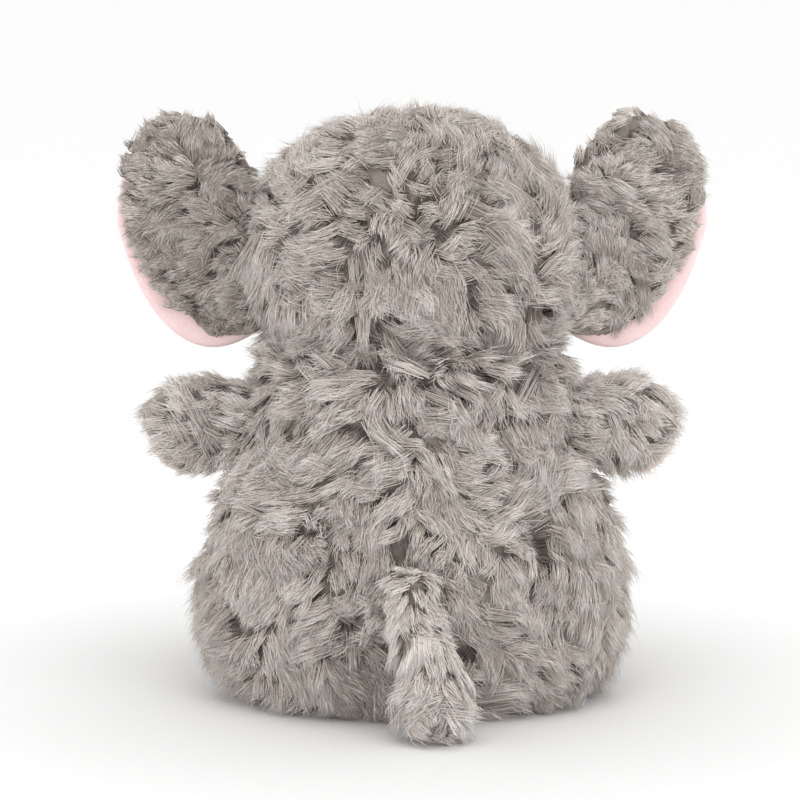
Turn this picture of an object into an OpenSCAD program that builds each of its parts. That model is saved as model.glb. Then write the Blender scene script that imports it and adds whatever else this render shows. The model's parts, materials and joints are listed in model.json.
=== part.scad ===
// A seated plush elephant with a long-pile cover, fibre filling, a pellet pouch in its seat,
// and a head, trunk, ears, arms, legs and tail that bend where they are sewn on.
// +Z is up, the face looks along -Y and the toy's own left is +X. The origin lies on the
// surface that the toy sits on, under the middle of the whole toy.

/* [Cover] */
// Thickness of the plush: knitted backing and combed pile together
pile = 8; // [6:0.5:9]
// Gap between solids that move against each other
gap = 0.5; // [0.3:0.1:0.8]

/* [Body] */
// Half width of the flat seat
seat_r = 46; // [42:1:50]
// Half width of the body at its widest
belly_r = 74; // [70:1:78]
// Height of the widest point
belly_z = 34; // [30:1:38]
// Half width under the head
shoulder_r = 54; // [52:1:56]
// Height of the shoulders
shoulder_z = 108; // [106:1:109]
// Depth of the body as a share of its width
body_depth = 0.8; // [0.78:0.01:0.86]
// Thickness of the seat panel
seat_t = 3; // [2:0.5:4]
// How far the side seams lie in front of the body's axis
side_seam_y = 6; // [4:1:10]

/* [Head] */
// Half width of the head
head_w = 56; // [53:1:58]
// Radius of the head in side view
head_r = 49; // [48:1:50]
// Height of the head's centre
head_z = 150; // [149:1:152]
// Half width of the panel over the crown
gusset_w = 18; // [15:1:22]
// Eye radius
eye_r = 5; // [4:0.5:6]
// Distance of each eye from the middle
eye_x = 24; // [21:1:27]
// Height of the eyes above the head's centre
eye_up = 6; // [3:1:9]

/* [Trunk] */
// Radius at the root
trunk_root_r = 14; // [12:0.5:15]
// Radius at the end
trunk_end_r = 10; // [8:0.5:11]

/* [Ears] */
// Half height of an ear
ear_h = 44; // [40:1:45]
// Half width of the whole oval that an ear is cut from
ear_w = 27; // [24:1:28]
// Distance of the oval's centre from the middle
ear_x = 70; // [68:1:72]
// Height of the oval's centre
ear_z = 158; // [156:1:160]
// Outward lean of the ear's top, in degrees
ear_lean = 17; // [10:1:20]

/* [Arms] */
// Height of the shoulder pivots
arm_z = 90; // [88:1:92]
// Radius at the shoulder
arm_root_r = 18; // [16:0.5:18]
// Radius at the paw
arm_paw_r = 20; // [18:0.5:20]
// Length from the shoulder pivot to the middle of the paw
arm_l = 21; // [19:1:23]

/* [Legs] */
// Distance of the hip pivots from the middle
hip_x = 37; // [35:1:39]
// Radius at the hip
leg_root_r = 17; // [15:0.5:18]
// Radius of the foot
foot_r = 20; // [18:0.5:21]
// Length from the hip pivot to the middle of the foot
leg_l = 30; // [28:1:33]
// Outward turn of each leg, in degrees
leg_turn = 10; // [0:1:14]

/* [Tail] */
// Radius at the root
tail_root_r = 10; // [8:0.5:10]
// Radius of the tuft
tail_tuft_r = 11.5; // [10:0.5:12]
// Sideways drop of the tuft
tail_side = 6; // [0:1:8]

/* [Hidden] */
$fn = 64;
big = 400;
reach = 40;                     // length of the funnels that the limbs swing in
squareness = 2.2;               // exponent of the head's rounded-box outline
seat_rim = 8;                   // the seat panel reaches this far past its flat middle
pouch_r = 28;
pouch_edge_r = 12;
pouch_z = 24;
cap_r = 12;                     // rounding of the shoulders
fill_gap = 0.2;                 // between the filling and what holds it
step = 10;                      // degrees between the points of a round outline

hinge_x = head_w + 1;           // the ears' seams, at the height of the head's centre
hinge_lean = 8;                 // the seams lean in over the head, in degrees
ear_back_t = 6;
ear_batting_t = 2;
ear_lining_t = 3;
ear_lip = 6;                    // rim of the ear's back that closes over the batting
ear_roll_r = (ear_back_t + ear_batting_t + ear_lining_t) / 2;
ear_roll_y = (ear_back_t - ear_batting_t - ear_lining_t) / 2;
ear_root_low = -24;             // the seam's ends, from the height of the head's centre
ear_root_high = 32;

arm_pivot = [50, -2, arm_z];
arm_turn = 12;                  // the arms lean this far forward at rest
arm_forward = 35;               // how far they swing
arm_back = 15;
arm_taper = atan((arm_paw_r - arm_root_r) / arm_l);
pad_r = 12;                     // paw pads
pad_sink = 2;                   // how far a smooth pad lies under the pile's tips
pad_low = 5;                    // the pad's underside, from the middle of the paw

hip = [hip_x, -42, foot_r + 1.5];
sole_l = leg_l + 15;            // from the hip pivot to the flat sole
sole_a = asin(15 / foot_r);     // where the sole cuts the round foot
sole_t = 2.5;
sole_r = foot_r * cos(sole_a);
leg_lift = 30;
leg_taper = atan((foot_r - leg_root_r) / leg_l);

trunk_pivot = [0, -41, head_z - 8];
trunk_mid = [0, -63, head_z - 16];
trunk_end = [0, -75, head_z - 36];
trunk_mid_r = (trunk_root_r + trunk_end_r) / 2;
trunk_swing = 25;

tail_pivot = [0, 62, 46];
tail_tip = [-tail_side, 71, tail_tuft_r + 1];

eye_pos = [eye_x, -head_edge(eye_x, eye_up) + 1.5, head_z + eye_up];
shank_r = 1.6;
shank_l = 16;
washer_r = 5.5;
washer_t = 1.6;
washer_in = 10.5;               // from the eye's centre to the washer

front_reach = -hip.y + sole_l * cos(leg_turn) + sole_r * sin(leg_turn);
rear_reach = tail_tip.y + tail_tuft_r;
axis_y = (front_reach - rear_reach) / 2; // where the body's axis lies, so that the toy is centred

grey = [0.63, 0.60, 0.57];
pink = [0.95, 0.83, 0.82];
cream = [0.94, 0.88, 0.84];
white = [0.93, 0.92, 0.90];

// How far forward the head's surface lies at a distance x from the middle and a height up from its centre
function head_edge(x, up) =
    let (r = head_r * pow(1 - pow(x / head_w, squareness), 1 / squareness)) sqrt(r * r - up * up);

// Outline of the body, shrunk by o and standing on the height floor_z
function body_outline(o, floor_z) = concat(
    [[0, floor_z]],
    [for (a = [-90:step:-1])
        [seat_r + (belly_r - seat_r - o) * cos(a), belly_z + (belly_z - floor_z) * sin(a)]],
    [for (i = [0:8])
        [shoulder_r - o + (belly_r - shoulder_r) * (1 + cos(180 * i / 8)) / 2,
         belly_z + (shoulder_z - belly_z) * i / 8]],
    [for (a = [15:15:90]) [shoulder_r - o - cap_r * (1 - cos(a)), shoulder_z + (cap_r - o) * sin(a)]],
    [[0, shoulder_z + cap_r - o]]
);

// Outline of a round-ended limb: radius r1 at the pivot, r2 at the length l, shrunk by o
function limb_outline(r1, r2, l, o, end_a = 90) = concat(
    [for (a = [-90:step:0]) [(r1 - o) * cos(a), (r1 - o) * sin(a)]],
    [for (a = [0:step:end_a]) [(r2 - o) * cos(a), l + (r2 - o) * sin(a)]],
    end_a < 90 ? [[(r2 - o) * cos(end_a), l + (r2 - o) * sin(end_a)], [0, l + (r2 - o) * sin(end_a)]] : []
);

// ---- placing ----

module placed(side = 1) {
    translate([0, axis_y, 0])
        if (side > 0) children();
        else mirror([1, 0, 0]) children();
}

// Turns a child that stands on the origin so that it points from one place to another
module aim(from, to) {
    v = to - from;
    translate(from) rotate([0, acos(v.z / norm(v)), atan2(v.y, v.x)]) children();
}

module limb(from, to, r1, r2, o) {
    aim(from, to) rotate_extrude() polygon(limb_outline(r1, r2, norm(to - from), o));
}

// Everything on one side of a plane across axis 0, 1 or 2: above the value at, or below it if up is false
module half(axis, at, up = true) {
    corner = [for (i = [0:2]) i == axis ? (up ? at : at - big) : -big / 2];
    translate(corner) cube(big);
}

// ---- head and body forms ----

module body_form(o, floor_z) {
    scale([1, body_depth, 1]) rotate_extrude() polygon(body_outline(o, floor_z));
}

// A rounded box turned about the nod axis, so the head keeps its place in its seat as it nods
module head_form(o) {
    n = 2 / squareness;
    translate([0, 0, head_z]) rotate([45, 0, 0]) rotate([0, 90, 0]) rotate_extrude()
        polygon([for (a = [0:step:180])
            [(head_r - o) * pow(sin(a), n), -(head_w - o) * sign(cos(a)) * pow(abs(cos(a)), n)]]);
}

// ---- limbs ----

module arm_form(o) {
    aim(arm_pivot, arm_pivot + [cos(arm_turn), -sin(arm_turn), 0])
        rotate_extrude() polygon(limb_outline(arm_root_r, arm_paw_r, arm_l, o));
}

module leg_form(o) {
    translate(hip) rotate([90, 0, leg_turn]) rotate_extrude()
        polygon(limb_outline(leg_root_r, foot_r, leg_l, o, sole_a));
}

module trunk_form(o) {
    limb(trunk_pivot, trunk_mid, trunk_root_r, trunk_mid_r, o);
    limb(trunk_mid, trunk_end, trunk_mid_r - 0.4, trunk_end_r, o);
}

module tail_form(o) {
    limb(tail_pivot, tail_tip, tail_root_r, tail_tuft_r, o);
}

// ---- the spaces that moving pieces need in their neighbours ----

// A ball seat at a pivot with a funnel that opens along v, by half_angle on each side. The funnel starts behind the
// pivot and stands a little wider than the ball's tangent cone.
module funnel(pivot, v, r, half_angle) {
    ball = r + gap;
    back = ball * sin(half_angle);
    start_r = ball * cos(half_angle) + 0.3 / cos(half_angle);
    translate(pivot) sphere(r = ball);
    aim(pivot - back * v / norm(v), pivot + v)
        cylinder(r1 = start_r, r2 = start_r + (reach + back) * tan(half_angle), h = reach + back);
}

module arm_space() {
    mid = arm_turn + (arm_forward - arm_back) / 2;
    funnel(arm_pivot, [cos(mid), -sin(mid), 0], arm_root_r, (arm_forward + arm_back) / 2 + arm_taper);
}

module leg_space() {
    lift = leg_lift / 2;
    funnel(hip, [sin(leg_turn) * cos(lift), -cos(leg_turn) * cos(lift), sin(lift)], leg_root_r, lift + leg_taper);
}

module trunk_space() {
    funnel(trunk_pivot, trunk_mid - trunk_pivot, trunk_root_r, trunk_swing);
}

// The frame of the left ear's seam: local Z runs along it and local X points out of the head
module at_seam() {
    translate([hinge_x, 0, head_z]) rotate([0, -hinge_lean, 0]) children();
}

module ear_space() {
    at_seam() translate([0, ear_roll_y, -big / 2]) cylinder(r = ear_roll_r + gap, h = big);
}

module both_sides() {
    children();
    mirror([1, 0, 0]) children();
}

// ---- body ----

module body_plush() {
    difference() {
        body_form(0, 0);
        body_form(pile, seat_t);
        half(2, seat_t, false);
        head_form(-gap);
    }
}

module body_back(side) {
    color(grey) placed() difference() {
        intersection() {
            body_plush();
            half(0, 0, side > 0);
            half(1, -side_seam_y);
        }
        mirror([side > 0 ? 0 : 1, 0, 0]) arm_space();
        tail_form(-gap);
    }
}

module body_belly() {
    color(grey) placed() difference() {
        intersection() {
            body_plush();
            half(1, -side_seam_y, false);
        }
        both_sides() arm_space();
        both_sides() leg_space();
    }
}

// An oval of two half circles and the straight edges between them, as wide and deep as the body's foot
module body_seat() {
    r = (seat_r + seat_rim) * body_depth;
    half_w = seat_r + seat_rim - r;
    color(grey) placed() linear_extrude(seat_t) union() {
        translate([-half_w, -r]) square([2 * half_w, 2 * r]);
        translate([half_w, 0]) circle(r = r);
        translate([-half_w, 0]) circle(r = r);
    }
}

module pouch_form(o) {
    translate([0, 4, pouch_z]) rotate_extrude() polygon(concat(
        [[0, -pouch_edge_r + o]],
        [for (a = [-90:step:90])
            [pouch_r - pouch_edge_r + (pouch_edge_r - o) * cos(a), (pouch_edge_r - o) * sin(a)]],
        [[0, pouch_edge_r - o]]));
}

module body_filling() {
    color(white) placed() difference() {
        body_form(pile + fill_gap, seat_t + fill_gap);
        head_form(-gap);
        both_sides() arm_space();
        both_sides() leg_space();
        tail_form(-gap);
        pouch_form(-fill_gap);
    }
}

module pellet_pouch() {
    color(cream) placed() pouch_form(0);
}

// ---- head ----

module head_plush() {
    difference() {
        head_form(0);
        head_form(pile);
    }
}

module head_side(side) {
    color(grey) placed(side) difference() {
        intersection() {
            head_plush();
            half(0, gusset_w);
        }
        ear_space();
        eye_space();
    }
}

module head_gusset() {
    color(grey) placed() difference() {
        intersection() {
            head_plush();
            half(0, -gusset_w);
            half(0, gusset_w, false);
        }
        trunk_space();
    }
}

module head_filling() {
    color(white) placed() difference() {
        head_form(pile + fill_gap);
        both_sides() ear_space();
        both_sides() eye_space();
        both_sides() translate(eye_pos + [0, washer_in - fill_gap, 0]) rotate([-90, 0, 0])
            cylinder(r = washer_r + fill_gap, h = washer_t + 2 * fill_gap);
        trunk_space();
    }
}

module eye_space() {
    translate(eye_pos) rotate([-90, 0, 0]) {
        sphere(r = eye_r + fill_gap);
        cylinder(r = shank_r + fill_gap, h = shank_l + fill_gap);
    }
}

module eye(side) {
    color("black") placed(side) translate(eye_pos) rotate([-90, 0, 0]) {
        sphere(r = eye_r);
        cylinder(r = shank_r, h = shank_l);
    }
}

module eye_washer(side) {
    color(white) placed(side) translate(eye_pos + [0, washer_in, 0]) rotate([-90, 0, 0])
        difference() {
            cylinder(r = washer_r, h = washer_t);
            translate([0, 0, -1]) cylinder(r = shank_r + 0.05, h = washer_t + 2);
        }
}

module trunk_cover() {
    color(grey) placed() difference() {
        trunk_form(0);
        trunk_form(pile - 2);
    }
}

module trunk_filling() {
    color(white) placed() trunk_form(pile - 2 + fill_gap);
}

// ---- ears ----

// Layers of the oval: an outline turned about the ear's middle, then narrowed
module ear_oval(points) {
    translate([ear_x, 0, ear_z]) rotate([0, ear_lean, 0]) scale([ear_w / ear_h, 1, 1])
        rotate([-90, 0, 0]) rotate_extrude() polygon(points);
}

module ear_back(side) {
    t = ear_back_t;
    color(grey) placed(side) union() {
        difference() {
            ear_oval(concat(
                [[0, 0], [ear_h - ear_lip, 0], [ear_h - ear_lip, -ear_batting_t], [ear_h, -ear_batting_t]],
                [for (a = [0:15:90]) [ear_h - t + t * cos(a), t * sin(a)]],
                [[0, t]]));
            at_seam() half(0, 0, false);
        }
        ear_roll();
    }
}

module ear_roll() {
    at_seam() translate([0, ear_roll_y, ear_root_low])
        cylinder(r = ear_roll_r, h = ear_root_high - ear_root_low);
}

module ear_batting(side) {
    edge = ear_h - ear_lip - fill_gap;
    color(white) placed(side) difference() {
        ear_oval([[0, -ear_batting_t], [edge, -ear_batting_t], [edge, 0], [0, 0]]);
        at_seam() half(0, ear_roll_r + fill_gap, false);
    }
}

module ear_lining(side) {
    low = -ear_batting_t - ear_lining_t;
    color(pink) placed(side) difference() {
        ear_oval([[0, low], [ear_h - ear_lining_t, low], [ear_h - 0.5, low + 1.5],
                  [ear_h, -ear_batting_t], [0, -ear_batting_t]]);
        at_seam() half(0, ear_roll_r + fill_gap, false);
    }
}

// ---- arms ----

// The palm faces forward, down and a little outward from the middle of the paw
module palm() {
    paw = arm_pivot + arm_l * [cos(arm_turn), -sin(arm_turn), 0];
    aim(paw, paw + [0.75, -0.45, -0.5]) children();
}

module arm_cover(side) {
    color(grey) placed(side) difference() {
        arm_form(0);
        arm_form(pile);
        palm() translate([0, 0, pad_low - fill_gap]) cylinder(r = pad_r + fill_gap, h = big / 10);
    }
}

module arm_filling(side) {
    color(white) placed(side) arm_form(pile + fill_gap);
}

module paw_pad(side) {
    color(cream) placed(side) palm() intersection() {
        difference() {
            sphere(r = arm_paw_r - pad_sink);
            sphere(r = arm_paw_r - pile);
        }
        translate([0, 0, pad_low]) cylinder(r = pad_r, h = big / 10);
    }
}

// ---- legs ----

module at_sole(z) {
    translate(hip) rotate([90, 0, leg_turn]) translate([0, 0, z]) children();
}

module leg_cover(side) {
    color(grey) placed(side) difference() {
        leg_form(0);
        leg_form(pile);
        at_sole(sole_l - sole_t) cylinder(r = sole_r - 1 + fill_gap, h = big / 10);
    }
}

module leg_filling(side) {
    color(white) placed(side) leg_form(pile + fill_gap);
}

module sole_pad(side) {
    color(cream) placed(side) at_sole(sole_l - sole_t) cylinder(r = sole_r - 1, h = sole_t);
}

// ---- tail ----

module tail_cover() {
    color(grey) placed() difference() {
        tail_form(0);
        tail_form(pile - 3);
    }
}

module tail_filling() {
    color(white) placed() tail_form(pile - 3 + fill_gap);
}

body_back(1);  // body_back_left
body_back(-1);  // body_back_right
body_belly();
body_seat();
body_filling();
pellet_pouch();
head_side(1);  // head_side_left
head_side(-1);  // head_side_right
head_gusset();
head_filling();
eye(1);  // eye_left
eye(-1);  // eye_right
eye_washer(1);  // eye_washer_left
eye_washer(-1);  // eye_washer_right
trunk_cover();
trunk_filling();
ear_back(1);  // ear_back_left
ear_back(-1);  // ear_back_right
ear_batting(1);  // ear_batting_left
ear_batting(-1);  // ear_batting_right
ear_lining(1);  // ear_lining_left
ear_lining(-1);  // ear_lining_right
arm_cover(1);  // arm_cover_left
arm_cover(-1);  // arm_cover_right
arm_filling(1);  // arm_filling_left
arm_filling(-1);  // arm_filling_right
paw_pad(1);  // paw_pad_left
paw_pad(-1);  // paw_pad_right
leg_cover(1);  // leg_cover_left
leg_cover(-1);  // leg_cover_right
leg_filling(1);  // leg_filling_left
leg_filling(-1);  // leg_filling_right
sole_pad(1);  // sole_pad_left
sole_pad(-1);  // sole_pad_right
tail_cover();
tail_filling();
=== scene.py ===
"""Looks of a seated plush elephant with long grey pile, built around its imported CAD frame.

Every covered piece is a stitched skin that stands where the CAD cover has its backing, and pile that grows out of
it in locks. A lock is a bundle of tapered strands that share a root patch, a comb direction and a bend.
"""

import json
import math

import bmesh
import bpy
import numpy as np
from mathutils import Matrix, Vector


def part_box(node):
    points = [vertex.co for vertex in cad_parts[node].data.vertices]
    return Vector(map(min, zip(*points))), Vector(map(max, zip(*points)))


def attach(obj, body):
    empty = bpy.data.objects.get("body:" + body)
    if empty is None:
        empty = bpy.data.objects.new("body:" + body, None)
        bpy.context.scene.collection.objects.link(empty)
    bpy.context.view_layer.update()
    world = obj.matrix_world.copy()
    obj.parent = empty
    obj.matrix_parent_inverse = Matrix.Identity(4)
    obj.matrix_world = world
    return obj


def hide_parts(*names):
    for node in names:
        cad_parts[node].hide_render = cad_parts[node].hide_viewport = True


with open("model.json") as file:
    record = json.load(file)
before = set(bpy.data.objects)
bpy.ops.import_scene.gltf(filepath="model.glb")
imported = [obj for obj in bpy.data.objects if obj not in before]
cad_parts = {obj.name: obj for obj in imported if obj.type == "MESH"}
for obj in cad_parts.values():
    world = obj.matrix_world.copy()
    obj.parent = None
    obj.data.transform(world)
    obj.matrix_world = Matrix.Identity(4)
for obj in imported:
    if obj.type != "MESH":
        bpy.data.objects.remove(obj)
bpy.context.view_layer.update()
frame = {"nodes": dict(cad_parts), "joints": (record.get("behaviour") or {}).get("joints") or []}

MM = 0.001
SEED = 20261117
SIDES = {"left": 1, "right": -1}  # the toy's own left is +X

# ---- sizes, some worked out from the frame and some given ----

PIVOT = {j["name"]: np.array(j["pos_m"]) for j in frame["joints"]}


def span(node):
    """A CAD node's lowest and highest corners as arrays."""
    low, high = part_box(node)
    return np.array(low), np.array(high)


AXIS_Y = float(sum(span("body_seat"))[1] / 2)  # the body's axis stands here, at x = 0
BACKING = 7.0 * MM  # depth of the backing under the outline of the CAD covers
SEAT_R = 46 * MM
BELLY_R = float(span("body_back_left")[1][0])
BELLY_Z = 34 * MM
SHOULDER_R = 54 * MM
SHOULDER_Z = 108 * MM
CAP_R = 12 * MM
BODY_DEPTH = 0.8  # depth of the body as a share of its width
HEAD = PIVOT["head_nod"]
HEAD_R = float((span("head_gusset")[1][2] - span("head_gusset")[0][2]) / 2)
HEAD_W = 56 * MM  # the ear's seam takes the end off the CAD head
SQUARENESS = 2.2
GUSSET_W = float(span("head_gusset")[1][0])


# ---- small vector tools ----

def unit(v):
    return v / np.maximum(np.linalg.norm(v, axis=-1, keepdims=True), 1e-12)


def tangent(direction, normal):
    """The part of direction that lies in the surface with that normal, at length 1."""
    return unit(direction - normal * (direction * normal).sum(-1, keepdims=True))


def turned(t, normal, angle):
    """t turned about normal by angle, in radians."""
    a = angle[..., None]
    return t * np.cos(a) + np.cross(normal, t) * np.sin(a)


def ripple(p, wavelength, seed, octaves=5):
    """Smooth noise of about unit height: a few plane waves with seeded directions and phases."""
    rng = np.random.default_rng(seed)
    k = unit(rng.normal(size=(octaves, 3))) * (2 * math.pi / wavelength) * rng.uniform(0.6, 1.5, (octaves, 1))
    return np.sin(p @ k.T + rng.uniform(0, 2 * math.pi, octaves)).sum(-1) * math.sqrt(2 / octaves)


def bump(x, centre, width):
    return np.exp(-(((x - centre) / width) ** 2))


FULL_TURN = np.linspace(0, 2 * math.pi, 73)[:, None]  # angles round the seat and the ears


# ---- skins: grids of points with normals ----

class Skin:
    """A grid of surface points, with normals that point out of the toy."""

    def __init__(self, points, outward):
        self.p = points
        du, dv = np.gradient(points, axis=0), np.gradient(points, axis=1)
        n = np.cross(du, dv)
        flat = np.linalg.norm(n, axis=-1) < 1e-12
        n = unit(n)
        n[flat] = unit(outward(points))[flat]
        facing = np.sign((n * outward(points)).sum(-1, keepdims=True))
        self.n = n * np.where(facing == 0, 1, facing)

    def scatter(self, spacing, rng):
        """Points at about one for each spacing squared, with their normals."""
        a, b, c, d = self.p[:-1, :-1], self.p[1:, :-1], self.p[1:, 1:], self.p[:-1, 1:]
        area = np.linalg.norm(np.cross(c - a, d - b), axis=-1).ravel() / 2
        count = int(area.sum() / spacing**2)
        cell = rng.choice(len(area), count, p=area / area.sum())
        i, j = np.unravel_index(cell, a.shape[:2])
        s, t = rng.random((2, count, 1))

        def mix(g):
            return (g[i, j] * (1 - s) + g[i + 1, j] * s) * (1 - t) + (g[i, j + 1] * (1 - s) + g[i + 1, j + 1] * s) * t

        return mix(self.p), unit(mix(self.n))


def along(points, count):
    """The polyline's points resampled at equal steps."""
    points = np.asarray(points, float)
    at = np.concatenate([[0], np.cumsum(np.linalg.norm(np.diff(points, axis=0), axis=1))])
    return np.stack([np.interp(np.linspace(0, at[-1], count), at, c) for c in points.T], 1)


def body_outline(depth, low_angle=-78):
    """Radius and height along the pear, from the seat's rim to the neck, at a depth under the CAD outline."""
    low = [[SEAT_R + (BELLY_R - SEAT_R - depth) * math.cos(a), BELLY_Z + (BELLY_Z - depth * 0.6) * math.sin(a)]
           for a in np.radians(np.arange(low_angle, 0, 4))]
    side = [[SHOULDER_R - depth + (BELLY_R - SHOULDER_R) * (1 + math.cos(math.pi * u)) / 2,
             BELLY_Z + (SHOULDER_Z - BELLY_Z) * u] for u in np.linspace(0, 1, 24)]
    cap = [[SHOULDER_R - depth - CAP_R * (1 - math.cos(a)), SHOULDER_Z + (CAP_R - depth * 0.7) * math.sin(a)]
           for a in np.radians(np.arange(8, 91, 8))]
    return np.array(low + side + cap)


BACK_SEAM_DEPTH = 0.8 * MM
SIDE_SEAM_DEPTH = 0.6 * MM
SIDE_SEAM = math.radians(96)


def body_point(theta, r, z):
    """A point of the body: theta is 0 at the back and grows towards the toy's left."""
    high = np.clip((z - 20 * MM) / (20 * MM), 0, 1)
    seam = BACK_SEAM_DEPTH * bump(theta * r, 0, 4 * MM) * high
    seam = seam + SIDE_SEAM_DEPTH * bump((np.abs(theta) - SIDE_SEAM) * r, 0, 4 * MM)
    around = np.stack(np.broadcast_arrays(r * np.sin(theta), r * np.cos(theta), z), -1)
    lumps = 0.5 * MM * np.clip(ripple(around, 45 * MM, 3) + 0.8, 0, 3)
    r = r - seam + lumps
    return np.stack(np.broadcast_arrays(r * np.sin(theta), AXIS_Y + BODY_DEPTH * r * np.cos(theta), z), -1)


def body_skin(theta0, theta1, nu, nv=70, depth=BACKING):
    rows = along(body_outline(depth), nv)
    theta = np.linspace(theta0, theta1, nu)[:, None]
    grid = body_point(theta, rows[None, :, 0] + 0 * theta, rows[None, :, 1] + 0 * theta)
    return Skin(grid, lambda p: p - np.array([0, AXIS_Y, BELLY_Z + 10 * MM]))


def head_radius(x, depth):
    """The head's radius about its nod axis at a distance x from the middle."""
    return (HEAD_R - depth) * np.maximum(1 - (np.abs(x) / (HEAD_W - depth)) ** SQUARENESS, 0) ** (1 / SQUARENESS)


def head_skin(x0, x1, nu, nv=110, depth=BACKING):
    """A belt of the head between two distances from the middle. The far end of a side panel is a pole."""
    edge = HEAD_W - depth
    share = np.linspace(0, 1, nu)
    if max(abs(x0), abs(x1)) >= edge:
        start = math.acos(min(abs(x0), abs(x1)) / edge)
        x = edge * np.cos(start * (1 - share)) * np.sign(x0 + x1)
    else:
        x = x0 + (x1 - x0) * share
    phi = np.linspace(0, 2 * math.pi, nv)
    r = head_radius(x, depth) - 0.8 * MM * bump(np.abs(x), GUSSET_W, 3 * MM)
    y, z = HEAD[1] + r[:, None] * np.cos(phi), HEAD[2] + r[:, None] * np.sin(phi)
    grid = np.stack(np.broadcast_arrays(x[:, None], y, z), -1)
    return Skin(grid, lambda p: p - HEAD)


def sweep_skin(path, radius, nu=40):
    """A round limb: path and radius run from one end cap's pole to the other's."""
    path, radius = np.asarray(path), np.asarray(radius)
    t = unit(np.gradient(path, axis=0))
    up = np.array([0.13, 0.37, 0.92])
    side = tangent(np.broadcast_to(up, t.shape), t)
    other = np.cross(t, side)
    a = np.linspace(0, 2 * math.pi, nu)[:, None, None]
    grid = path[None] + radius[None, :, None] * (side[None] * np.cos(a) + other[None] * np.sin(a))
    return Skin(grid, lambda p: p - path[None] + t[None] * 1e-9 + _cap_push(path, t, radius)[None])


def _cap_push(path, t, radius):
    """Points the normals of a limb's two end caps outwards."""
    push = np.zeros_like(path)
    half = len(path) // 2
    closing = np.gradient(radius) * 40
    push[:half] = -t[:half] * np.maximum(closing[:half], 0)[:, None]
    push[half:] = t[half:] * np.maximum(-closing[half:], 0)[:, None]
    return push


def capped(centre_line, radii, steps=9):
    """A limb's path and radii with a round cap added at both ends."""
    line, radii = np.asarray(centre_line, float), np.asarray(radii, float)
    first, last = unit(line[0] - line[1]), unit(line[-1] - line[-2])
    a = np.linspace(0, math.pi / 2, steps)[:-1]
    start = [(line[0] + first * radii[0] * math.cos(x), radii[0] * math.sin(x)) for x in a]
    end = [(line[-1] + last * radii[-1] * math.cos(x), radii[-1] * math.sin(x)) for x in a[::-1]]
    path = [p for p, _ in start] + list(line) + [p for p, _ in end]
    return np.array(path), np.array([r for _, r in start] + list(radii) + [r for _, r in end])


def bezier(a, b, c, count):
    t = np.linspace(0, 1, count)[:, None]
    return a * (1 - t) ** 2 + 2 * b * t * (1 - t) + c * t**2


# ---- meshes ----

def link(name, mesh, body, materials):
    for m in materials:
        mesh.materials.append(m)
    o = bpy.data.objects.new(name, mesh)
    bpy.context.scene.collection.objects.link(o)
    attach(o, body)
    return o


def shell(name, skin, thickness, body, material, wrap=False):
    """A closed cloth panel: the skin, an inner copy of it one thickness down, and the rim between them."""
    nu, nv = skin.p.shape[:2]
    if wrap:
        nu -= 1
    outer, inner = skin.p[:nu], (skin.p - skin.n * thickness)[:nu]
    v = np.concatenate([outer.reshape(-1, 3), inner.reshape(-1, 3)])
    faces = []
    for i in range(nu if wrap else nu - 1):
        k = (i + 1) % nu
        for j in range(nv - 1):
            q = [i * nv + j, k * nv + j, k * nv + j + 1, i * nv + j + 1]
            faces += [q, [x + nu * nv for x in reversed(q)]]
        for j, end in ((0, False), (nv - 1, True)):
            q = [k * nv + j, i * nv + j, i * nv + j + nu * nv, k * nv + j + nu * nv]
            faces.append(q[::-1] if end else q)
    if not wrap:
        for i, end in ((0, True), (nu - 1, False)):
            for j in range(nv - 1):
                q = [i * nv + j + 1, i * nv + j, i * nv + j + nu * nv, i * nv + j + 1 + nu * nv]
                faces.append(q[::-1] if end else q)
    mesh = bpy.data.meshes.new(name)
    mesh.from_pydata(v.tolist(), [], faces)
    b = bmesh.new()
    b.from_mesh(mesh)
    bmesh.ops.remove_doubles(b, verts=b.verts, dist=1e-6)
    bmesh.ops.dissolve_degenerate(b, edges=b.edges, dist=1e-7)
    bmesh.ops.recalc_face_normals(b, faces=b.faces)
    for f in b.faces:
        f.smooth = True
    b.to_mesh(mesh)
    b.free()
    return link(name, mesh, body, [material])


# ---- materials ----

def srgb(r, g, b):
    """A colour given as 0 to 255 display values, in the linear values that Blender uses."""
    return tuple(((c / 255 + 0.055) / 1.055) ** 2.4 if c > 10 else c / 3294.6 for c in (r, g, b)) + (1.0,)


def principled(name, roughness, sheen=0.0, specular=0.3):
    m = bpy.data.materials.new(name)
    m.use_nodes = True
    s = m.node_tree.nodes["Principled BSDF"]
    s.inputs["Roughness"].default_value = roughness
    s.inputs["Sheen Weight"].default_value = sheen
    s.inputs["Sheen Roughness"].default_value = 0.5
    s.inputs["Specular IOR Level"].default_value = specular
    return m, s


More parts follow.
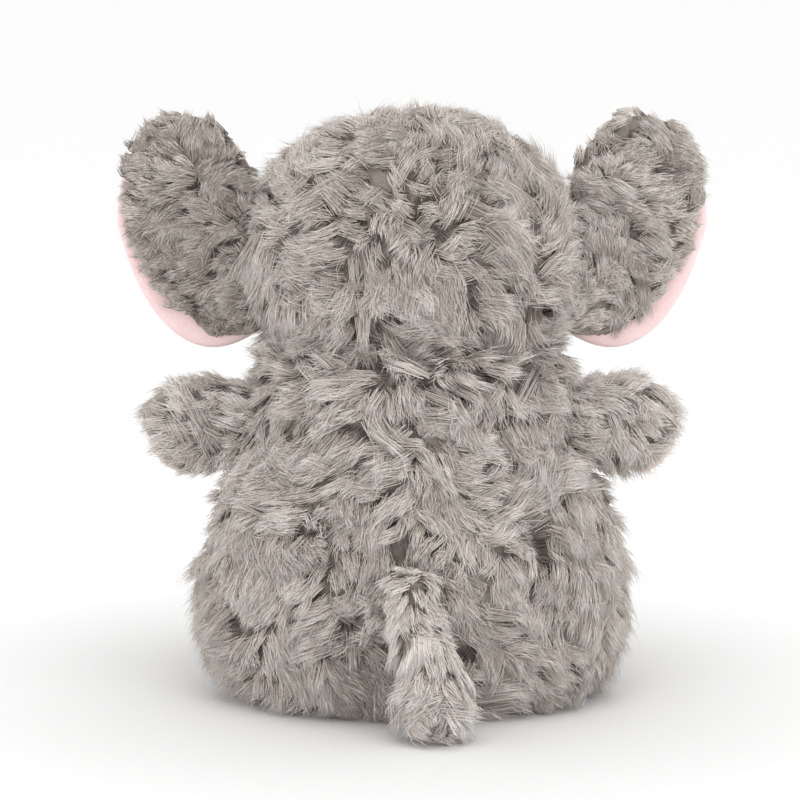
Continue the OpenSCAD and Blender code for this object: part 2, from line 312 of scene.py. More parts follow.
def cloth(name, low, high, scale, height, sheen=0.4, roughness=0.85):
    """Short napped cloth: two tones mixed by fine fibre noise and broad wear, with the nap as bump."""
    m, s = principled(name, roughness, sheen)
    nodes, links = m.node_tree.nodes, m.node_tree.links
    place = nodes.new("ShaderNodeTexCoord")
    fine = nodes.new("ShaderNodeTexNoise")
    fine.inputs["Scale"].default_value = scale
    fine.inputs["Detail"].default_value = 5
    broad = nodes.new("ShaderNodeTexNoise")
    broad.inputs["Scale"].default_value = scale / 14
    both = nodes.new("ShaderNodeMath")
    both.operation = "MULTIPLY_ADD"
    both.inputs[1].default_value = 0.65
    ramp = nodes.new("ShaderNodeValToRGB")
    ramp.color_ramp.elements[0].position, ramp.color_ramp.elements[1].position = 0.35, 0.8
    ramp.color_ramp.elements[0].color, ramp.color_ramp.elements[1].color = low, high
    dent = nodes.new("ShaderNodeBump")
    dent.inputs["Distance"].default_value = height
    for n in (fine, broad):
        links.new(place.outputs["Object"], n.inputs["Vector"])
    links.new(fine.outputs["Fac"], both.inputs[0])
    scaled = nodes.new("ShaderNodeMath")
    scaled.operation = "MULTIPLY"
    scaled.inputs[1].default_value = 0.4
    links.new(broad.outputs["Fac"], scaled.inputs[0])
    links.new(scaled.outputs[0], both.inputs[2])
    links.new(both.outputs[0], ramp.inputs["Fac"])
    links.new(ramp.outputs["Color"], s.inputs["Base Color"])
    links.new(fine.outputs["Fac"], dent.inputs["Height"])
    links.new(dent.outputs["Normal"], s.inputs["Normal"])
    return m


# the darkest tones are painted shade at the strands' roots, the lightest partly painted light on their tips
PILE_TONES = [srgb(*c) for c in (
    (122, 111, 103), (154, 142, 134), (179, 168, 159), (200, 190, 181), (217, 208, 199),
    (230, 222, 214), (241, 233, 226), (249, 242, 236), (254, 249, 243))]


def pile_materials():
    """One plain material for each tone of strand, from the roots, darkened as painted shade, to the light tips, partly
    frosted fibre and partly painted light.
    """
    made = []
    for i, colour in enumerate(PILE_TONES):
        m, s = principled(f"pile_tone_{i}", 0.85, 0.25, 0.12)
        s.inputs["Base Color"].default_value = colour
        made.append(m)
    return made


PILE = pile_materials()
BACKING_CLOTH = cloth("backing", srgb(128, 119, 111), srgb(168, 159, 151), 900, 0.0004)
LINING = cloth("lining_minky", srgb(244, 208, 208), srgb(255, 232, 231), 1400, 0.0002, 0.6)
PAD = cloth("pad_minky", srgb(236, 214, 200), srgb(250, 236, 226), 1400, 0.0002, 0.6)
SEAT = cloth("seat_twill", srgb(120, 111, 104), srgb(150, 141, 133), 1200, 0.0003)
FILLING = cloth("fibre_filling", srgb(222, 220, 216), srgb(246, 245, 242), 300, 0.001, 0.2)

# ---- pile ----

RINGS = (0.0, 0.38, 0.74)  # where along a strand its three-sided rings stand; its point is at 1
WIDTHS = (0.178 * MM, 0.168 * MM, 0.11 * MM)  # radius of each ring
MOST_STRANDS = 11500  # in one piece
PATCH = 20 * MM  # width of the patches that the pile parts between
DROOP = 0.06  # how far gravity pulls the tips, as a share of their length
ROOT_DEPTH = 0.5 * MM  # of the roots in the cloth
STRAY = 0.065  # how far the tips stray from their lock, as a share of their length
WILD, WILD_SHARE = 3.0, 0.06  # this share of the strands strays this much more
MIDDLE_TONE = 4.6  # the mean tone, counted along PILE_TONES
# the root and the root's end face are painted darker as painted shade between the strands, the tip lighter partly as
# painted light
PAINTED_SHADE_AND_LIGHT_STEPS = (-3.4, -0.7, 1.6, -3.4)  # lighter or darker at the root, the middle, the tip and the root's end face


class Coat:
    """Locks of pile that wait to be built into pieces: roots, normals, comb directions and lengths."""

    def __init__(self, seed):
        self.rng = np.random.default_rng(SEED + seed)
        self.seed = seed
        self.parts = []

    def grow(self, skin, flow, keep, length, spacing=3.0 * MM, swirl=0.5, patch=0.32, tuft=9 * MM, jitter=0.1,
             lift=(48, -3), wave=0.34, curl=0.24, gathered=0.5, shade=0.0, puff=None):
        """Adds locks all over a skin. flow gives the comb direction at each point. swirl turns it smoothly, patch
        turns it by whole patches, which part from each other, and jitter turns each lock. Neighbouring locks lean
        together into tufts of about the width tuft, and gathered is how far they lean. lift is the angle above the
        skin at the root and at the tip, wave makes it rise and fall, puff raises it by radians where pile stands up,
        curl bends locks sideways, and shade makes all of them lighter."""
        rng = self.rng
        p, n = skin.scatter(spacing, rng)
        area = len(p) * spacing**2

        crowd = np.exp(0.7 * ripple(p, 55 * MM, self.seed + 41))  # tufts are small in some places, broad in others

        def seeds(size):
            """Points at about one for each size squared, which share out the locks that stand around them."""
            return p[rng.choice(len(p), max(3, int(area / size**2)), replace=False, p=crowd / crowd.sum())]

        patches, tufts = seeds(PATCH), seeds(tuft)
        kept = keep(p)
        p, n = p[kept], n[kept]
        count = len(p)
        warped = p + 2.5 * MM * np.stack([ripple(p, 11 * MM, self.seed + k) for k in (21, 22, 23)], 1)
        cell, own = (np.linalg.norm(warped[:, None] - at[None], axis=2).argmin(1) for at in (patches, tufts))
        turn, rise, light = rng.normal(size=(3, len(patches)))
        t_turn, t_rise, t_light, t_curl = rng.normal(size=(4, len(tufts)))
        f = unit(flow(p, n))
        ahead = np.arcsin(np.clip((f * n).sum(-1), 0, 1))  # at a limb's end the pile goes straight on
        angle = swirl * ripple(p, 32 * MM, self.seed + 11) + patch * turn[cell] + 0.12 * t_turn[own]
        t = turned(tangent(f, n), n, angle + jitter * rng.normal(size=count))
        size = length(p) if callable(length) else length
        size = size * (1 + 0.10 * ripple(p, 9 * MM, self.seed + 5) + 0.07 * rng.normal(size=count))
        up = wave * ripple(p, 16 * MM, self.seed + 31) + 0.10 * rise[cell] + 0.16 * t_rise[own]
        up = up + (puff(p) if puff else 0)
        high = np.radians(lift[0]) + 0.7 * up + 0.08 * rng.normal(size=count)
        low = np.radians(lift[1]) + up + 0.10 * rng.normal(size=count)
        high, low = np.maximum(high, ahead), np.maximum(low, ahead * 1.1 - 0.1)
        lean = tufts[own] - p
        lean = gathered * (lean - n * (lean * n).sum(-1, keepdims=True))
        lean *= np.minimum(1, 0.6 * tuft / np.maximum(np.linalg.norm(lean, axis=1, keepdims=True), 1e-9))
        curlier = 1 + 0.7 * np.clip(-p[:, 0] / (20 * MM), 0, 1)  # on the toy's right
        bend = curl * t_curl[own] * curlier + 0.1 * rng.normal(size=count)
        tone = (shade + 0.3 * light[cell] + 0.45 * ripple(p, 14 * MM, self.seed + 7) + 0.35 * t_light[own]
                + 0.2 * rng.normal(size=count))
        self.parts.append((p, n, t, size, high, low, lean, bend, np.full(count, spacing), tone))

    def build(self, name, body, strands_per_lock=31):
        """Turns the locks into pieces of at most MOST_STRANDS strands, cut by height."""
        locks = [np.concatenate(x) for x in zip(*self.parts)]
        order = np.argsort(locks[0][:, 2], kind="stable")
        pieces = max(1, math.ceil(len(order) * strands_per_lock / MOST_STRANDS))
        made = []
        for k, chosen in enumerate(np.array_split(order, pieces)):
            label = name if pieces == 1 else f"{name}_{k + 1}"
            made.append(self._mesh(label, body, strands_per_lock, *(a[chosen] for a in locks)))
        return made

    def _mesh(self, name, body, per_lock, p, n, t, size, high, low, lean, curl, spacing, tone):
        rng = self.rng
        locks, b = len(p), np.cross(n, t)
        shape = (locks, per_lock)
        # where each strand stands in its lock's patch
        reach = spacing[:, None] * 0.85 * np.sqrt(rng.random(shape))
        around = rng.uniform(0, 2 * math.pi, shape)
        o_t, o_b = reach * np.cos(around), reach * np.sin(around)
        offset = o_t[..., None] * t[:, None] + o_b[..., None] * b[:, None]
        sink = ROOT_DEPTH + reach**2 / (2 * 30 * MM)
        root = p[:, None] + offset - n[:, None] * sink[..., None]
        # the lock's own bend
        start = n * np.sin(high)[:, None] + t * np.cos(high)[:, None]
        end = n * np.sin(low)[:, None] + t * np.cos(low)[:, None]
        phase = rng.uniform(0.7, 1.7, locks) * math.pi
        gather = rng.uniform(0.2, 0.75, locks)[:, None] * rng.uniform(0.5, 1.1, shape)
        length = size[:, None] * (1 + 0.13 * rng.normal(size=shape)) * (1 - 0.15 * (reach / spacing[:, None]))
        stray = rng.normal(size=(*shape, 3)) * STRAY
        stray[rng.random(shape) < WILD_SHARE] *= WILD

        def at(s):
            bend = start * s + (end - start) * (s * s / 2)
            bend = bend + b * (curl * np.sin(phase * s))[:, None]
            bend = bend[:, None] * length[..., None]
            bend = bend + stray * (length * s * s)[..., None] + (lean * s**1.4)[:, None]
            bend[..., 2] -= DROOP * length * s * s
            return root - offset * (gather * s**1.3)[..., None] + bend

        rings = [at(s) for s in RINGS]
        tip = at(1.0)
        for ring in (*rings, tip):  # the pile spreads on the floor
            ring[..., 2] = np.maximum(ring[..., 2], 0.3 * MM)
        axis = unit(tip - rings[0])
        u = unit(np.cross(axis, unit(rng.normal(size=axis.shape))))
        w = np.cross(axis, u)
        thin = rng.uniform(0.75, 1.25, shape)[..., None]
        corners = []
        for ring, width in zip(rings, WIDTHS):
            for a in (0, 2 * math.pi / 3, 4 * math.pi / 3):
                corners.append(ring + thin * width * (u * math.cos(a) + w * math.sin(a)))
        corners.append(tip)
        v = np.stack(corners, 2).reshape(-1, 3)
        strands, per = locks * per_lock, len(corners)
        base = (np.arange(strands) * per)[:, None]
        quads = [[3 * r + c, 3 * r + (c + 1) % 3, 3 * r + 3 + (c + 1) % 3, 3 * r + 3 + c]
                 for r in range(len(RINGS) - 1) for c in range(3)]
        last = 3 * (len(RINGS) - 1)
        tris = [[last + c, last + (c + 1) % 3, per - 1] for c in range(3)] + [[0, 2, 1]]
        pattern = np.array(sum(quads, []) + sum(tris, []))
        sizes = np.array([4] * len(quads) + [3] * len(tris))
        loops = (base + pattern).ravel()
        starts = np.concatenate([[0], np.cumsum(np.tile(sizes, strands))[:-1]])
        # roots are painted darker than tips as painted shade, the tips lighter partly as painted light, and each lock
        # and strand has its own tone
        level = np.repeat(PAINTED_SHADE_AND_LIGHT_STEPS, (3, 3, 3, 1))
        own = (tone[:, None] + 0.22 * rng.normal(size=shape)).reshape(-1, 1)
        index = np.clip(np.round(MIDDLE_TONE + own + level), 0, len(PILE) - 1).astype(np.int32).ravel()
        mesh = bpy.data.meshes.new(name)
        mesh.vertices.add(len(v))
        mesh.vertices.foreach_set("co", v.astype(np.float32).ravel())
        mesh.loops.add(len(loops))
        mesh.loops.foreach_set("vertex_index", loops.astype(np.int32))
        mesh.polygons.add(len(starts))
        mesh.polygons.foreach_set("loop_start", starts.astype(np.int32))
        mesh.polygons.foreach_set("material_index", index)
        mesh.polygons.foreach_set("use_smooth", np.ones(len(starts), bool))
        mesh.update(calc_edges=True)
        return link(name, mesh, body, PILE)


# ---- which roots are buried in a neighbour ----

def inside_head(p, depth):
    q = p - HEAD
    r = np.hypot(q[:, 1], q[:, 2])
    return (np.abs(q[:, 0]) / (HEAD_W - depth)) ** SQUARENESS + (r / (HEAD_R - depth)) ** SQUARENESS < 1


def inside_body(p, depth):
    outline = body_outline(depth, -90)
    r = np.interp(p[:, 2], outline[:, 1], outline[:, 0], left=0, right=0)
    return np.hypot(p[:, 0], (p[:, 1] - AXIS_Y) / BODY_DEPTH) < r


def inside_limb(p, a, b, ra, rb, depth):
    """Is a point inside a round-ended limb from a to b?"""
    d = b - a
    t = np.clip((p - a) @ d / (d @ d), 0, 1)
    return np.linalg.norm(p - a - t[:, None] * d, axis=1) < ra + (rb - ra) * t - depth


# ---- body ----

ARM_DIR = {s: np.array([math.cos(math.radians(12)) * k, -math.sin(math.radians(12)), 0]) for s, k in SIDES.items()}
ARM_LENGTH, ARM_ROOT_R, PAW_R = 21 * MM, 18 * MM, 20 * MM
LEG_DIR = {s: np.array([math.sin(math.radians(10)) * k, -math.cos(math.radians(10)), 0]) for s, k in SIDES.items()}
LEG_LENGTH, LEG_ROOT_R, FOOT_R, SOLE_AT = 30 * MM, 17 * MM, 20 * MM, 45 * MM
PALM_DIR = {s: unit(np.array([0.75 * k, -0.45, -0.5])) for s, k in SIDES.items()}
TAIL_ROOT = PIVOT["tail_lift"]
TAIL_TIP = np.array([-6 * MM, AXIS_Y + 71 * MM, 12.5 * MM])
TRUNK_ROOT = PIVOT["trunk_swing"]
TRUNK_MID = TRUNK_ROOT + np.array([0, -22, -8]) * MM
TRUNK_END = TRUNK_ROOT + np.array([0, -34, -28]) * MM


def arm_ends(side):
    root = PIVOT[f"arm_{side}_swing"]
    return root, root + ARM_DIR[side] * ARM_LENGTH


def leg_ends(side):
    root = PIVOT[f"leg_{side}_lift"]
    return root, root + LEG_DIR[side] * LEG_LENGTH


def clear_of_limbs(p, depth):
    """False for roots on the body that a limb, the tail or the head covers."""
    covered = inside_head(p, depth)
    for side in SIDES:
        covered |= inside_limb(p, *arm_ends(side), ARM_ROOT_R, PAW_R, depth)
        covered |= inside_limb(p, *leg_ends(side), LEG_ROOT_R, FOOT_R, depth)
    covered |= inside_limb(p, TAIL_ROOT, TAIL_TIP, 10 * MM, 11 * MM, depth)
    return ~covered


def body_flow(p, n):
    """The pile of the back lies down and away from the seam, almost sideways at the shoulders."""
    x = p[:, :1]
    back = np.clip((p[:, 1:2] - AXIS_Y) / (30 * MM), -1, 1)
    high = np.clip((p[:, 2:3] - 40 * MM) / (60 * MM), 0, 1)
    out = np.tanh((x + 1 * MM) / (16 * MM)) * (0.6 + 0.6 * high * (x > 0)) * (0.6 + 0.4 * back)
    return np.concatenate([out, -0.15 * back, -np.ones_like(x)], 1)


skins = {}
for name, t0, t1 in (("body_back_left", 0, SIDE_SEAM), ("body_back_right", -SIDE_SEAM, 0),
                     ("body_belly", SIDE_SEAM, 2 * math.pi - SIDE_SEAM)):
    skins[name] = body_skin(t0, t1, 76)
    o = shell(f"skin_{name}", skins[name], 0.8 * MM, "body", BACKING_CLOTH)
    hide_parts(name)


def body_puff(p):
    """The pile stands up in the neck and along the parting of the back."""
    parting = bump(p[:, 0], -1 * MM, 7 * MM) * (p[:, 1] > AXIS_Y) * np.clip((104 * MM - p[:, 2]) / (8 * MM), 0, 1)
    neck = bump(p[:, 2], 116 * MM, 9 * MM) * bump(p[:, 0], 0, 38 * MM)
    return 0.4 * neck + 0.35 * parting


def body_length(p):
    return 11 * MM * (1 + 0.35 * bump(p[:, 2], 115 * MM, 9 * MM) * bump(p[:, 0], 0, 38 * MM))


coat = Coat(1)
for name in ("body_back_left", "body_back_right", "body_belly"):
    coat.grow(skins[name], body_flow, lambda p: clear_of_limbs(p, 5.5 * MM), body_length, puff=body_puff, shade=0.1,
              gathered=0.42)
coat.build("pile_body", "body")

# the seat panel's radius and height, from its middle to where it turns up under the pile
r, z = np.array([[0, 0.5], [20, 0.35], [40, 0.3], [44, 0.35], [47, 0.9], [48.6, 2.0], [49.4, 3.2], [49.8, 4.4]]).T * MM
x, y = r * np.sin(FULL_TURN), AXIS_Y + BODY_DEPTH * r * np.cos(FULL_TURN)
seat = Skin(np.stack(np.broadcast_arrays(x, y, z), -1), lambda p: p - np.array([0, AXIS_Y, BELLY_Z]))
o = shell("seat_panel", seat, 0.8 * MM, "body", SEAT, wrap=True)
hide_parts("body_seat")

# ---- head ----

CROWN = HEAD + np.array([-0.03, 0.94, 0.30]) * HEAD_R
EYE = {s: sum(span(f"eye_{s}")) / 2 for s in SIDES}
for s in SIDES:
    EYE[s][1] = span(f"eye_{s}")[0][1] + 5 * MM


def head_flow(p, n):
    """The pile of the head turns out of a whorl on the crown, and parts round the trunk's root."""
    away = unit(p - CROWN)
    near = np.exp(-np.linalg.norm(p - CROWN, axis=1, keepdims=True) / (22 * MM))
    front = np.clip((HEAD[1] - p[:, 1:2]) / (30 * MM), 0, 1)
    around = unit((p - TRUNK_ROOT) * np.array([1, 0, 1]))
    return away + np.cross(n, away) * near * 1.4 + np.array([0, 0, -0.2]) * (1 - near) + around * front * 0.7


def head_length(p):
    top = np.clip((p[:, 2] - HEAD[2]) / HEAD_R, 0, 1)
    return 11 * MM * (1 + 0.4 * bump(p[:, 2], 112 * MM, 14 * MM)) * (1 - 0.3 * top)


def head_keeps(p):
    """False for roots in the neck, under the trunk and round the eyes."""
    keep = ~inside_body(p, 7 * MM)
    keep &= np.linalg.norm(p - TRUNK_ROOT, axis=1) > 8 * MM
    for s in SIDES:
        keep &= np.linalg.norm(p - EYE[s], axis=1) > 7.2 * MM
    return keep


def head_puff(p):
    """The pile stands up in the neck and lies low elsewhere."""
    return 0.5 * bump(p[:, 2], 112 * MM, 11 * MM) - 0.1


for name, x0, x1, nu in (("head_side_left", GUSSET_W, HEAD_W, 40), ("head_side_right", -GUSSET_W, -HEAD_W, 40),
                         ("head_gusset", -GUSSET_W, GUSSET_W, 30)):
    skins[name] = head_skin(x0, x1, nu)
    o = shell(f"skin_{name}", skins[name], 0.8 * MM, "head", BACKING_CLOTH)
    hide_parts(name)

coat = Coat(2)
for name in ("head_side_left", "head_side_right", "head_gusset"):
    coat.grow(skins[name], head_flow, head_keeps, head_length, gathered=0.42, shade=-0.15, puff=head_puff)
coat.build("pile_head", "head")

# ---- trunk ----

line = along([TRUNK_ROOT, TRUNK_MID, TRUNK_END], 24)
line[1:-1] = (line[:-2] + 2 * line[1:-1] + line[2:]) / 4  # rounds the bend a little
wide = np.linspace(14, 10, 24) * MM - 5 * MM
trunk = sweep_skin(*capped(line, wide))
o = shell("skin_trunk", trunk, 0.6 * MM, "trunk", BACKING_CLOTH, wrap=True)
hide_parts("trunk_cover")


def trunk_flow(p, n):
    return np.broadcast_to(TRUNK_END - TRUNK_ROOT, p.shape) + np.array([0, 0, -0.2 * MM])


coat = Coat(3)
coat.grow(trunk, trunk_flow, lambda p: ~inside_head(p, 2 * MM), 8.0 * MM, patch=0.15, swirl=0.25, tuft=6 * MM,
          wave=0.15)
coat.build("pile_trunk", "trunk")

# ---- ears ----

EAR_H, EAR_W = 44 * MM, 27 * MM
EAR_LEAN = math.radians(17)


def ear_frame(side):
    """An ear's middle and its outward and upward directions."""
    k = SIDES[side]
    return (np.array([70 * MM * k, AXIS_Y, 158 * MM]), np.array([math.cos(EAR_LEAN) * k, 0, -math.sin(EAR_LEAN)]),
            np.array([math.sin(EAR_LEAN) * k, 0, math.cos(EAR_LEAN)]))


def ear_edge(phi):
    """The ear's outline at an angle up from outward, cut off inside the head's pile where the seam is."""
    c, s = np.cos(phi), np.sin(phi)
    square = 2.3
    r = (np.abs(c / EAR_W) ** square + np.abs(s / EAR_H) ** square) ** (-1 / square)
    u, w = r * c, r * s
    return np.maximum(u, -21.4 * MM - 0.305 * w), w


def about(phi, centre, width):
    """A bump in the angle phi, with its centre and width in degrees."""
    return bump(np.angle(np.exp(1j * (phi - math.radians(centre)))), 0, math.radians(width))


def shows_lining(phi):
    """1 along the outer and lower rim, where the lining rolls round to the back, and 0 along the top."""
    return about(phi, -40, 48)


def ear_grid(side, size, y, phi):
    mid, out, up = ear_frame(side)
    u, w = ear_edge(phi)
    flat = mid + out * (size * u)[..., None] + up * (size * w)[..., None]
    return flat + np.array([0, 1, 0]) * (y + 0 * u)[..., None]


def ear_rows(rows, count):
    """Rows of a share of the ear's size and a depth in mm, resampled at even steps on an ear of middle size."""
    scale = np.array([25, 1])
    return along(rows * scale, count) / scale


def out_of_core(side):
    """The direction out of the middle of an ear's thickness, mostly forwards or backwards."""
    core = ear_frame(side)[0] + np.array([0, -1.4 * MM, 0])
    return lambda p: (p - core) * np.array([0.12, 1, 0.12])



def ear_cup(size, roll):
    """The ear cups a little forwards towards its rim."""
    return -1.6 * MM * size**2 * (1 - 0.5 * roll)


def ear_back(side):
    rho = np.sin(np.linspace(0, math.pi / 2, 26))[None]
    roll = shows_lining(FULL_TURN)
    size = rho * (0.81 - 0.09 * roll + 0.15 * about(FULL_TURN, -105, 30))
    y = 0.9 * MM + 1.5 * MM * np.sqrt(np.maximum(1 - rho**6, 0)) + ear_cup(size, roll)
    mid = ear_frame(side)[0]
    grid = ear_grid(side, size, y + 1.4 * MM * size**2, FULL_TURN)
    return Skin(grid, lambda p: np.array([0, 1.0, 0]) + (p - mid) * 6)


def ear_front(side):
    """The lining, from its middle over the rim to a turned-in edge behind."""
    rows = ear_rows([[0, -4.8], [0.5, -4.7], [0.8, -4.2], [0.93, -3.3], [0.985, -2.0], [1.0, -0.7], [0.985, 0.5],
                     [0.93, 1.2], [0.84, 1.3], [0.72, 0.9]], 34)
    roll = shows_lining(FULL_TURN)
    top = np.clip(1.3 * np.sin(FULL_TURN) - 0.35 * np.cos(FULL_TURN), 0, 1)
    size = rows[None, :, 0] * (1 - 0.19 * top - 0.06 * about(FULL_TURN, -108, 30))
    y = rows[None, :, 1] * MM + ear_cup(size, roll)
    return Skin(ear_grid(side, size, y, FULL_TURN), out_of_core(side))


def ear_batting(side):
    """The thin filling, well inside the rim."""
    rows = ear_rows([[0, -2.6], [0.55, -2.6], [0.72, -2.1], [0.75, -1.4], [0.72, -0.7], [0.55, -0.2], [0, -0.2]], 24)
    y = rows[None, :, 1] * MM + ear_cup(rows[None, :, 0], 0)
    size, y, phi = np.broadcast_arrays(rows[None, :, 0], y, FULL_TURN)
    return Skin(ear_grid(side, size, y, phi), out_of_core(side))


def ear_flow(side):
    """Up and to both sides from the ear's middle."""
    mid, out, up = ear_frame(side)

    def flow(p, n):
        high = np.clip((p - mid) @ up / EAR_H, -1, 1)[:, None]
        wide = np.clip((p - mid) @ out / EAR_W, -1, 1)[:, None]
        return out * (0.35 + 0.9 * wide - 0.15 * high) + up * (0.5 + 0.6 * high)

    return flow


def ear_length(side):
    """The pile is shorter along the rim."""
    mid, out, up = ear_frame(side)

    def length(p):
        u, w = (p - mid) @ out, (p - mid) @ up
        far = np.hypot(u / EAR_W, w / EAR_H)
        return 9 * MM * (1 - 0.48 * np.clip((far - 0.4) / 0.4, 0, 1))

    return length


for side in SIDES:
    back, front = ear_back(side), ear_front(side)
    o = shell(f"skin_ear_{side}", back, 0.5 * MM, f"ear_{side}", BACKING_CLOTH, wrap=True)
    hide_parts(f"ear_back_{side}")
    o = shell(f"lining_ear_{side}", front, 0.8 * MM, f"ear_{side}", LINING, wrap=True)
    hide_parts(f"ear_lining_{side}")
    o = shell(f"batting_ear_{side}", ear_batting(side), 0.3 * MM, f"ear_{side}", FILLING, wrap=True)
    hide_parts(f"ear_batting_{side}")
    coat = Coat(10 + SIDES[side])
    # The toy's left ear is painted darker and its right ear lighter: painted shade for light that falls more on the
    # toy's right.
    coat.grow(back, ear_flow(side), lambda p: ~inside_head(p, 5 * MM), ear_length(side), spacing=2.3 * MM, patch=0.3,
              tuft=8 * MM, wave=0.24, gathered=0.35, shade=-0.75 - 0.45 * SIDES[side])
    coat.build(f"pile_ear_{side}", f"ear_{side}")

# ---- arms ----

def pad_skin(middle, ahead, core, radius, rim, crown, power, rows):
    """A low round cushion with its rim tucked in. rim is how far ahead of middle its edge stands, crown is how much
    further its own middle stands, power makes its side steep, and its normals point away from core."""
    u = tangent(np.array([0, 0, 1.0]), ahead)
    w = np.cross(ahead, u)
    a = np.linspace(0, 2 * math.pi, 49)[:, None]
    s = np.linspace(0, 1, rows)[None]
    reach = radius * np.sin(s * math.pi / 2)
    rise = rim + crown * np.maximum(np.cos(s * math.pi / 2), 0) ** power
    grid = middle + ahead * rise[..., None] + u * (reach * np.cos(a))[..., None] + w * (reach * np.sin(a))[..., None]
    return Skin(grid, lambda p: p - core)


for side, k in SIDES.items():
    root, paw = arm_ends(side)
    line = np.linspace(root, paw, 14)
    arm = sweep_skin(*capped(line, np.linspace(ARM_ROOT_R, PAW_R, 14) - BACKING))
    o = shell(f"skin_arm_{side}", arm, 0.8 * MM, f"arm_{side}", BACKING_CLOTH, wrap=True)
    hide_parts(f"arm_cover_{side}")
    palm = PALM_DIR[side]

    def arm_flow(p, n, palm=palm, paw=paw, side=side):
        """The pile lies towards the paw and parts round its pad."""
        near = bump(np.arccos(np.clip((unit(p - paw) * palm).sum(-1), -1, 1)), 0.8, 0.45)[:, None]
        return ARM_DIR[side] + np.array([0, 0, -0.35]) - palm * near * 0.8

    def arm_keeps(p, paw=paw, palm=palm):
        return ~inside_body(p, 6 * MM) & ((unit(p - paw) * palm).sum(-1) < math.cos(0.86))

    coat = Coat(20 + k)
    coat.grow(arm, arm_flow, arm_keeps, 9.5 * MM, patch=0.2, swirl=0.3, tuft=6.5 * MM, wave=0.2, gathered=0.3,
              shade=0.9)
    coat.build(f"pile_arm_{side}", f"arm_{side}")
    pad = pad_skin(paw, palm, paw, 12 * MM, rim=12.4 * MM, crown=5.0 * MM, power=0.6, rows=18)
    o = shell(f"pad_paw_{side}", pad, 0.8 * MM, f"arm_{side}", PAD, wrap=True)
    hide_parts(f"paw_pad_{side}")

# ---- legs ----

for side, k in SIDES.items():
    root, foot = leg_ends(side)
    ahead = LEG_DIR[side]
    toes = [foot + ahead * 6 * MM, foot + ahead * 10 * MM, foot + ahead * 12 * MM]
    line = np.concatenate([np.linspace(root, foot, 18), toes])
    wide = np.concatenate([np.linspace(LEG_ROOT_R, FOOT_R, 18), np.array([19.2, 17.4, 14.5]) * MM]) - BACKING
    path, radius = capped(line, wide)
    keep = (path - foot) @ ahead < 11.4 * MM
    path, radius = path[keep], radius[keep]
    path, radius = np.concatenate([path, path[-1:] + ahead * 0.3 * MM]), np.concatenate([radius, [0.0]])
    leg = sweep_skin(path, radius)
    o = shell(f"skin_leg_{side}", leg, 0.8 * MM, f"leg_{side}", BACKING_CLOTH, wrap=True)
    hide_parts(f"leg_cover_{side}")

    def leg_flow(p, n, ahead=ahead, foot=foot):
        """The pile flares round the sole pad."""
        q = p - foot
        along_leg = (q @ ahead)[:, None]
        flare = 0.8 * unit(q - along_leg * ahead) * np.clip(along_leg / (6 * MM) + 1, 0, 1)
        return ahead + np.array([0, 0, -0.25]) + flare

    def leg_keeps(p, foot=foot, ahead=ahead):
        return ~inside_body(p, 5 * MM) & ((p - foot) @ ahead < 7 * MM)

    def leg_length(p, foot=foot, ahead=ahead):
        return 10 * MM * (1 - 0.45 * np.clip((p - foot) @ ahead / (8 * MM) + 0.6, 0, 1))

    coat = Coat(30 + k)
    coat.grow(leg, leg_flow, leg_keeps, leg_length, patch=0.25, tuft=7 * MM, wave=0.2, gathered=0.3)
    coat.build(f"pile_leg_{side}", f"leg_{side}")
    pad = pad_skin(foot, ahead, root, 12.2 * MM, rim=SOLE_AT - LEG_LENGTH - 2.6 * MM, crown=2.4 * MM, power=0.35,
                   rows=14)
    o = shell(f"pad_sole_{side}", pad, 0.8 * MM, f"leg_{side}", PAD, wrap=True)
    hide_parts(f"sole_pad_{side}")

# ---- tail ----

line = bezier(TAIL_ROOT, (TAIL_ROOT + TAIL_TIP) / 2 + np.array([0, 1, 1]) * MM, TAIL_TIP, 20)
tail = sweep_skin(*capped(line, np.linspace(10, 11.5, 20) * MM - 4.2 * MM))
o = shell("skin_tail", tail, 0.6 * MM, "tail", BACKING_CLOTH, wrap=True)
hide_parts("tail_cover")


def tail_flow(p, n):
    """The tuft hangs to the floor and spreads a little on the way."""
    return np.stack([0.036 * (p[:, 0] - TAIL_ROOT[0]) / MM, 0.12 + 0 * p[:, 1], -1 + 0 * p[:, 2]], 1)


def tail_length(p):
    return 8.5 * MM + 1.5 * MM * np.clip((48 * MM - p[:, 2]) / (24 * MM), 0, 1)


coat = Coat(4)
coat.grow(tail, tail_flow, lambda p: ~inside_body(p, 4 * MM), tail_length, spacing=2.7 * MM, patch=0.12, swirl=0.3,
          tuft=10 * MM, wave=0.12, gathered=0.25, shade=1.75)
coat.build("pile_tail", "tail")

# ---- hard and hidden parts keep their CAD shapes ----

EYE_BLACK, s = principled("eye_gloss", 0.06, 0, 0.6)
s.inputs["Base Color"].default_value = srgb(14, 12, 12)
s.inputs["Coat Weight"].default_value = 0.8
s.inputs["Coat Roughness"].default_value = 0.03
WASHER, s = principled("washer_nylon", 0.4)
s.inputs["Base Color"].default_value = srgb(232, 230, 224)
POUCH = cloth("pouch_cotton", srgb(226, 218, 204), srgb(244, 238, 226), 500, 0.0003, 0.2)
for name, node in frame["nodes"].items():
    look = (EYE_BLACK if name in ("eye_left", "eye_right") else WASHER if "washer" in name
            else POUCH if name == "pellet_pouch" else FILLING)
    for held in node.material_slots:
        held.material = look

# ---- floor, light and camera ----

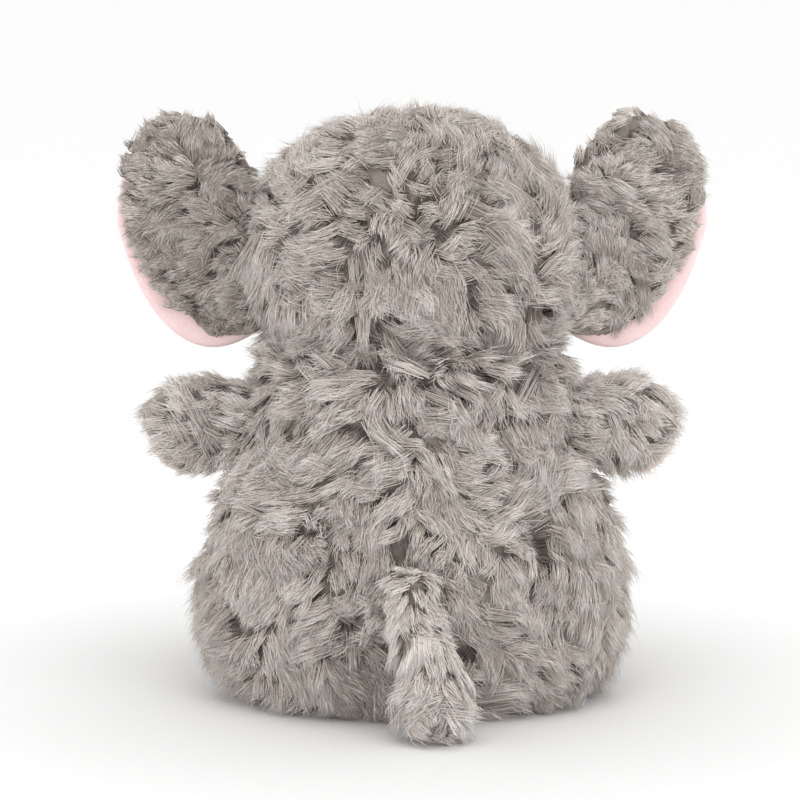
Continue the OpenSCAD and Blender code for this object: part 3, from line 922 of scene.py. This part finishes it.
bpy.ops.mesh.primitive_plane_add(size=300, location=(0, 0, 0))
floor = bpy.context.object
floor.name = "floor"
FLOOR, s = principled("floor_white_painted_shadow", 0.9, 0, 0.1)
nodes, links = FLOOR.node_tree.nodes, FLOOR.node_tree.links
place, far = nodes.new("ShaderNodeTexCoord"), nodes.new("ShaderNodeVectorMath")
far.operation = "LENGTH"
# The floor is painted darker near the toy and turns white further out: a painted soft shadow round the toy.
painted_floor_shadow = nodes.new("ShaderNodeMapRange")
painted_floor_shadow.interpolation_type = "SMOOTHSTEP"
for socket, value in (("From Min", 0.04), ("From Max", 0.30), ("To Min", 0.84), ("To Max", 1.0)):
    painted_floor_shadow.inputs[socket].default_value = value
links.new(place.outputs["Object"], far.inputs[0])
links.new(far.outputs["Value"], painted_floor_shadow.inputs["Value"])
links.new(painted_floor_shadow.outputs["Result"], s.inputs["Base Color"])
floor.data.materials.append(FLOOR)

world = bpy.data.worlds.new("studio")
bpy.context.scene.world = world
world.use_nodes = True
sky = world.node_tree.nodes["Background"]
sky.inputs["Color"].default_value = (1, 1, 1, 1)
seen = world.node_tree.nodes.new("ShaderNodeLightPath")
level = world.node_tree.nodes.new("ShaderNodeMapRange")  # the sky that the camera sees is a little brighter
level.inputs["To Min"].default_value, level.inputs["To Max"].default_value = 0.98, 1.02
world.node_tree.links.new(seen.outputs["Is Camera Ray"], level.inputs["Value"])
world.node_tree.links.new(level.outputs["Result"], sky.inputs["Strength"])


def lamp(name, place, aim, size, watts):
    light = bpy.data.lights.new(name, "AREA")
    light.shape, light.size, light.energy = "DISK", size, watts
    o = bpy.data.objects.new(name, light)
    bpy.context.scene.collection.objects.link(o)
    o.location = place
    o.rotation_euler = (Vector(aim) - Vector(place)).to_track_quat("-Z", "Y").to_euler()


lamp("top_soft", (-0.1, 0.5, 1.5), (0, 0, 0.1), 1.0, 4)
lamp("side_left", (1.3, 1.0, 0.5), (0, 0, 0.1), 0.9, 2)
lamp("side_right", (-1.3, 1.0, 0.5), (0, 0, 0.1), 0.9, 3)

scene = bpy.context.scene
scene.view_settings.view_transform = "Standard"
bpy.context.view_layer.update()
cam = bpy.data.cameras.new("camera")
cam.lens = 135
cam.sensor_width = 36
camera = bpy.data.objects.new("camera", cam)
scene.collection.objects.link(camera)
scene.camera = camera
elevation, distance = math.radians(8), 1.0
target = Vector((0.004, AXIS_Y, 0.0985))
back = Vector((0, math.cos(elevation), math.sin(elevation)))
camera.location = target + back * distance
camera.rotation_euler = (-back).to_track_quat("-Z", "Y").to_euler()
